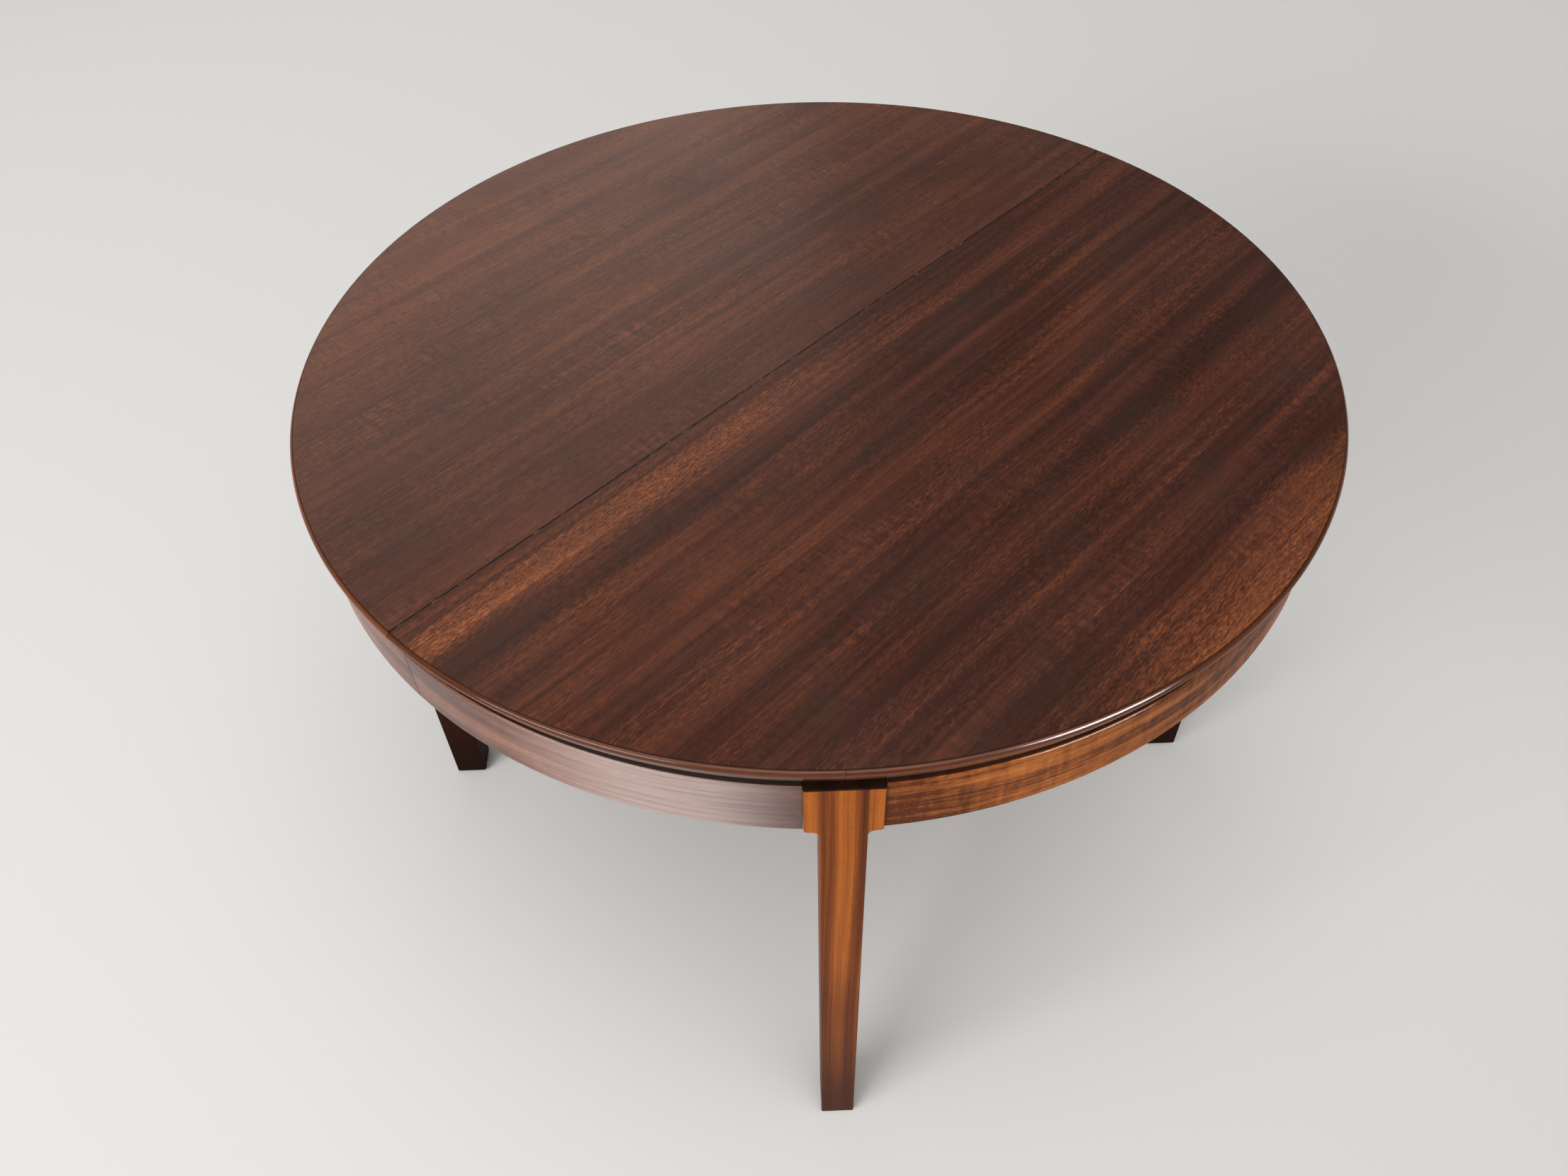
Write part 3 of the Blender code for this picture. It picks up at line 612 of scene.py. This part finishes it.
def leg_finish(name, turn, depth, seed):
    # Upright grain: two dark stripes in orange wood, straight fibre and short pores. The leg
    # is darker towards the foot. depth darkens the whole leg as painted shade.
    mat, tree, shader = new_finish(name, Specular_IOR_Level=0.02, Coat_Weight=0.04,
                                   Coat_Roughness=0.18)
    place = put(tree, "TexCoord").outputs["Object"]
    upright = put(tree, "Mapping", {"Vector": place, "Rotation": (0.0, 0.0, -turn)}).outputs[0]
    shift = (seed, seed * 1.7, 0.0)
    wander = cloud(tree, stretched(tree, upright, (3.0, 3.0, 3.0), shift), 1.0)
    axes = put(tree, "SeparateXYZ", {0: upright}).outputs
    across = sway(tree, axes[1], wander, 0.014)
    grain = put(tree, "CombineXYZ", {0: axes[0], 1: across, 2: axes[2]}).outputs[0]
    broad = cloud(tree, stretched(tree, grain, (55.0, 90.0, 1.6), shift), 2.0, 0.45)
    streak = cloud(tree, stretched(tree, grain, (260.0, 420.0, 4.0), shift), 3.0, 0.6)
    fibre = cloud(tree, stretched(tree, grain, (1500.0, 1500.0, 45.0), shift), 3.0, 0.6)
    tone = sway(tree, 0.60, broad, 0.50)
    tone = sway(tree, tone, streak, 0.45)
    tone = sway(tree, tone, fibre, 0.20)
    for centre, half_width, strength in ((-0.0160, 0.0080, 0.22), (-0.0070, 0.0014, 0.14),
                                         (0.0130, 0.0058, 0.27)):
        off = calc(tree, "ABSOLUTE", calc(tree, "SUBTRACT", across, centre))
        stripe = fade(tree, off, half_width * 0.5, half_width * 1.25, 1.0, 0.0)
        tone = calc(tree, "MULTIPLY_ADD", stripe, -strength, tone)
    dark, middle, light = ((0.070, 0.018, 0.0055), (0.170, 0.045, 0.0095), (0.360, 0.104, 0.0170))
    dark, middle, light = [tuple(v * depth for v in one) for one in (dark, middle, light)]
    colour = tones(tree, tone, [(0.20, dark), (0.42, middle), (0.72, light)])
    pore = cloud(tree, stretched(tree, grain, (1300.0, 1300.0, 170.0), shift), 2.0, 0.6)
    colour = mixed(tree, fade(tree, pore, 0.60, 0.70, 0.0, 0.50), colour, dark)
    # Darker towards the foot
    foot_darkening = calc(tree, "ADD", fade(tree, axes[2], 0.42, 0.28, 0.0, 0.48),
                 fade(tree, axes[2], 0.26, 0.02, 0.0, 0.46))
    colour = mixed(tree, foot_darkening, colour, (0.036 * depth, 0.0085 * depth, 0.0034 * depth))
    # The block's upper end is painted nearly black where it meets the top: painted shade in the gap
    # under the top
    gap_shade = fade(tree, axes[2], apron_top - 0.0024, apron_top - 0.0008, 0.0, 0.97)
    colour = mixed(tree, gap_shade, colour, (0.008, 0.004, 0.003))
    tree.links.new(colour, shader.inputs["Base Color"])
    rough = fade(tree, streak, 0.3, 0.7, 0.30, 0.40)
    tree.links.new(rough, shader.inputs["Roughness"])
    relief(tree, shader, calc(tree, "MULTIPLY_ADD", pore, -0.8, fibre), 0.20, 0.0004)
    return mat


# The three legs away from the front one are painted darker: painted shade, as they stand in shadow
leg_painted_shade = {"near_1": 1.0, "near_2": 0.30, "far_1": 0.30, "far_2": 0.22}
for half, turned_by in (("near", 0.0), ("far", math.pi)):
    for number, turn in ((1, -leg_turn), (2, leg_turn)):
        tag = f"{half}_{number}"
        leg = leg_solid()
        bmesh.ops.rotate(leg, verts=leg.verts, matrix=Matrix.Rotation(turn + turned_by, 3, "Z"))
        finish_piece("table_leg_" + tag, leg,
                     leg_finish("leg_wood_" + tag, turn + turned_by, leg_painted_shade[tag],
                                number * 4.1 + turned_by),
                     half + "_half", "leg", "leg_" + tag)


# ------------------------------------------------------------------ the spacer ring
# A plywood ring, coloured black-brown, screwed between the apron and the top. It is set back
# so that the top seems to float over a shadow.
ring_radius = 0.5


def near_black_finish():
    mat, tree, shader = new_finish("near_black_ring", Specular_IOR_Level=0.4)
    place, _ = arc_place(tree, ring_radius)
    fibre = cloud(tree, stretched(tree, place, (40.0, 900.0, 60.0)), 3.0, 0.6)
    stops = [(0.35, (0.008, 0.005, 0.004)), (0.70, (0.022, 0.013, 0.009))]
    tree.links.new(tones(tree, fibre, stops), shader.inputs["Base Color"])
    tree.links.new(fade(tree, fibre, 0.3, 0.7, 0.50, 0.62), shader.inputs["Roughness"])
    relief(tree, shader, fibre, 0.2, 0.0004)
    return mat


def dress(node, mat):
    # Gives a CAD piece its finish.
    for one in frame["nodes"][node].material_slots:
        one.material = mat


near_black_ring = near_black_finish()
for half in ("near", "far"):
    dress("spacer_ring_" + half, near_black_ring)


# ------------------------------------------------------------------ the core
# Pine block core between crossed veneers, with a plain mahogany backing veneer underneath
# that keeps the panel flat. Bare wood, seen from below and when the table is open.
def board_finish(name, pale, deep, scale, axis_shift):
    mat, tree, shader = new_finish(name, Specular_IOR_Level=0.35)
    place = put(tree, "TexCoord").outputs["Object"]
    streak = cloud(tree, stretched(tree, place, scale, axis_shift), 4.0, 0.6, 0.2)
    fibre = cloud(tree, stretched(tree, place, tuple(v * 9.0 for v in scale), axis_shift), 3.0)
    tone = calc(tree, "MULTIPLY_ADD", fibre, 0.3, calc(tree, "MULTIPLY", streak, 0.8))
    tree.links.new(tones(tree, tone, [(0.38, deep), (0.72, pale)]), shader.inputs["Base Color"])
    tree.links.new(fade(tree, fibre, 0.3, 0.7, 0.55, 0.75), shader.inputs["Roughness"])
    relief(tree, shader, fibre, 0.25, 0.0004)
    return mat


block_core = board_finish("block_core", (0.50, 0.34, 0.19), (0.33, 0.20, 0.10),
                          (1.5, 60.0, 200.0), (0.0, 0.0, 0.0))
backing_wood = board_finish("backing_wood", (0.26, 0.13, 0.070), (0.15, 0.070, 0.036),
                            (40.0, 1.6, 4.0), (0.4, 0.0, 0.0))
backing_low, backing_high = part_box("backing_veneer_near")
backing_meet = 0.00003


def backing_sheet(side):
    # The two sheets meet under the seam, so no light shows through it from above.
    radius = backing_high.y
    turn = math.pi / 2.0 - math.asin(backing_meet / radius)
    outline = []
    for i in range(arc_steps + 1):
        angle = -turn + 2.0 * turn * i / arc_steps
        outline.append((side * radius * math.cos(angle), side * radius * math.sin(angle)))
    return skin([[(x, y, z) for x, y in outline] for z in (backing_low.z, backing_high.z)])


for half, side in (("near", 1.0), ("far", -1.0)):
    dress("top_core_" + half, block_core)
    finish_piece("backing_sheet_" + half, backing_sheet(side), backing_wood,
                 half + "_half", "core", "backing_veneer_" + half)


# ------------------------------------------------------------------ beech framing
# Corner blocks glued behind the legs, a cross-rail beside the seam in each half, and the
# telescoping runners with their tongues and stopped grooves. Planed beech, waxed on the
# runners.
beech_round = board_finish("beech_blocks", (0.44, 0.27, 0.145), (0.31, 0.175, 0.085),
                           (30.0, 30.0, 120.0), (2.0, 0.0, 0.0))
beech_cross = board_finish("beech_cross_rail", (0.44, 0.27, 0.145), (0.32, 0.185, 0.090),
                           (90.0, 1.8, 90.0), (0.0, 3.0, 0.0))
beech_runner = board_finish("beech_runner", (0.46, 0.285, 0.150), (0.33, 0.190, 0.095),
                            (1.8, 110.0, 110.0), (0.0, 1.0, 0.0))
for half in ("near", "far"):
    dress("cross_rail_" + half, beech_cross)
    for number in (1, 2):
        dress(f"corner_block_{half}_{number}", beech_round)
    for place_in_set in ("inner", "outer"):
        dress(f"runner_{half}_{place_in_set}", beech_runner)
for number in (1, 2):
    dress(f"middle_runner_{number}", beech_runner)
for number in (1, 2, 3):
    dress(f"seam_dowel_{number}", beech_round)


# ------------------------------------------------------------------ metalwork and glides
# Zinc-plated hanger bolts with washer and nut draw each leg to its corner block. The seam
# catches are stamped and turned brass. The glides are moulded nylon, nailed under the feet.
def metal_finish(name, colour, tarnish, rough_low, rough_high):
    mat, tree, shader = new_finish(name, Metallic=1.0)
    place = put(tree, "TexCoord").outputs["Object"]
    spots = cloud(tree, stretched(tree, place, (220.0, 220.0, 220.0)), 4.0, 0.6)
    lines = cloud(tree, stretched(tree, place, (900.0, 900.0, 3500.0)), 2.0)
    tree.links.new(mixed(tree, fade(tree, spots, 0.45, 0.70), colour, tarnish),
                   shader.inputs["Base Color"])
    tree.links.new(fade(tree, spots, 0.3, 0.7, rough_low, rough_high), shader.inputs["Roughness"])
    relief(tree, shader, lines, 0.1, 0.0002)
    return mat


zinc = metal_finish("zinc_plate", (0.58, 0.58, 0.60), (0.42, 0.41, 0.39), 0.28, 0.42)
brass = metal_finish("turned_brass", (0.72, 0.50, 0.20), (0.42, 0.28, 0.12), 0.24, 0.40)
nylon, nylon_tree, nylon_shader = new_finish("moulded_nylon", Specular_IOR_Level=0.4)
nylon_grain = cloud(nylon_tree, stretched(nylon_tree, put(nylon_tree, "TexCoord").outputs["Object"],
                                          (900.0, 900.0, 900.0)), 3.0)
nylon_tree.links.new(tones(nylon_tree, nylon_grain, [(0.3, (0.045, 0.038, 0.034)),
                                                     (0.7, (0.075, 0.065, 0.058))]),
                     nylon_shader.inputs["Base Color"])
nylon_tree.links.new(fade(nylon_tree, nylon_grain, 0.3, 0.7, 0.5, 0.65),
                     nylon_shader.inputs["Roughness"])
for half in ("near", "far"):
    for number in (1, 2):
        dress(f"leg_bolt_{half}_{number}", zinc)
        dress(f"glide_{half}_{number}", nylon)
for number in (1, 2):
    dress(f"catch_pivot_{number}", brass)
    dress(f"catch_stud_{number}", brass)
    dress(f"catch_arm_{number}", brass)


# ------------------------------------------------------------------ the studio
# A wide pale floor under soft light from above and in front, with a warm window on the left
# and a cool lamp on the right. The camera stands over a leg and looks down across the table.
floor_reach = 40.0
floor_mesh = bmesh.new()
bmesh.ops.create_grid(floor_mesh, x_segments=1, y_segments=1, size=floor_reach)
floor_data = bpy.data.meshes.new("studio_floor")
floor_mesh.to_mesh(floor_data)
floor_mesh.free()
floor = bpy.data.objects.new("studio_floor", floor_data)
bpy.context.scene.collection.objects.link(floor)
floor_paint, _, floor_shader = new_finish("floor_paint", Roughness=0.9, Specular_IOR_Level=0.1)
floor_shader.inputs["Base Color"].default_value = (0.52, 0.52, 0.52, 1.0)
floor_data.materials.append(floor_paint)

world = bpy.data.worlds.new("studio_air")
world.use_nodes = True
air = world.node_tree
heading = put(air, "TexCoord").outputs["Generated"]
glow_heading = (0.24, -0.24, 0.94)
glow_level = 3.45
horizon_level = 0.54
upper_level = 0.06
towards = put(air, "VectorMath", {0: heading, 1: glow_heading}, operation="DOT_PRODUCT")
glow = fade(air, towards.outputs["Value"], 0.72, 0.98, 0.0, glow_level)
rise = put(air, "SeparateXYZ", {0: heading}).outputs[2]
horizon = fade(air, rise, 0.10, 0.45, horizon_level, upper_level)
backdrop = air.nodes["Background"]
backdrop.inputs["Color"].default_value = (1.0, 0.98, 0.95, 1.0)
air.links.new(calc(air, "ADD", horizon, glow), backdrop.inputs["Strength"])
bpy.context.scene.world = world


def window(name, place, aim, width, height, power, colour):
    light = bpy.data.lights.new(name, "AREA")
    light.shape = "RECTANGLE"
    light.size = width
    light.size_y = height
    light.energy = power
    light.color = colour
    lamp = bpy.data.objects.new(name, light)
    lamp.location = place
    lamp.rotation_euler = (Vector(aim) - Vector(place)).to_track_quat("-Z", "Y").to_euler()
    bpy.context.scene.collection.objects.link(lamp)
    return lamp


window("window_left", (-3.2, 1.2, 2.6), (0.0, 0.0, 0.7), 3.4, 2.2, 17.0, (1.0, 0.93, 0.86))
glint = window("lamp_right", (4.42, 0.30, 2.78), (0.3, 0.0, 0.7), 1.8, 2.4, 900.0,
               (0.94, 0.97, 1.0))
window("window_front", (-0.10, -5.2, 3.0), (0.1, -0.4, 0.7), 3.5, 1.1, 280.0, (1.0, 0.98, 0.97))
# The right lamp is flagged off the floor and the top: it only puts a glint on the rim
glint.visible_diffuse = False
rim_pieces = bpy.data.collections.new("rim_pieces")
for piece in bpy.context.scene.objects:
    if piece.name.startswith(("edge_band_", "apron_rail_")):
        rim_pieces.objects.link(piece)
glint.light_linking.receiver_collection = rim_pieces

lens_mm = 28.272
azimuth = math.radians(44.70)
tilt = math.radians(47.86)
roll = math.radians(-2.02)
back = 1.0460
aside = -0.0389
eye_height = 1.5098
ahead = Vector((-math.sin(azimuth), math.cos(azimuth), 0.0))
beside = Vector((math.cos(azimuth), math.sin(azimuth), 0.0))
overhead = Vector((0.0, 0.0, 1.0))
forward = ahead * math.cos(tilt) - overhead * math.sin(tilt)
level_up = overhead * math.cos(tilt) + ahead * math.sin(tilt)
right = beside * math.cos(roll) + level_up * math.sin(roll)
up = -beside * math.sin(roll) + level_up * math.cos(roll)
eye = -ahead * back + beside * aside + overhead * eye_height
camera_data = bpy.data.cameras.new("camera")
camera_data.sensor_width = 36.0
camera_data.lens = lens_mm
camera = bpy.data.objects.new("camera", camera_data)
camera.matrix_world = Matrix((
    (right.x, up.x, -forward.x, eye.x),
    (right.y, up.y, -forward.y, eye.y),
    (right.z, up.z, -forward.z, eye.z),
    (0.0, 0.0, 0.0, 1.0)))
bpy.context.scene.collection.objects.link(camera)
bpy.context.scene.camera = camera
bpy.context.scene.view_settings.view_transform = "Standard"
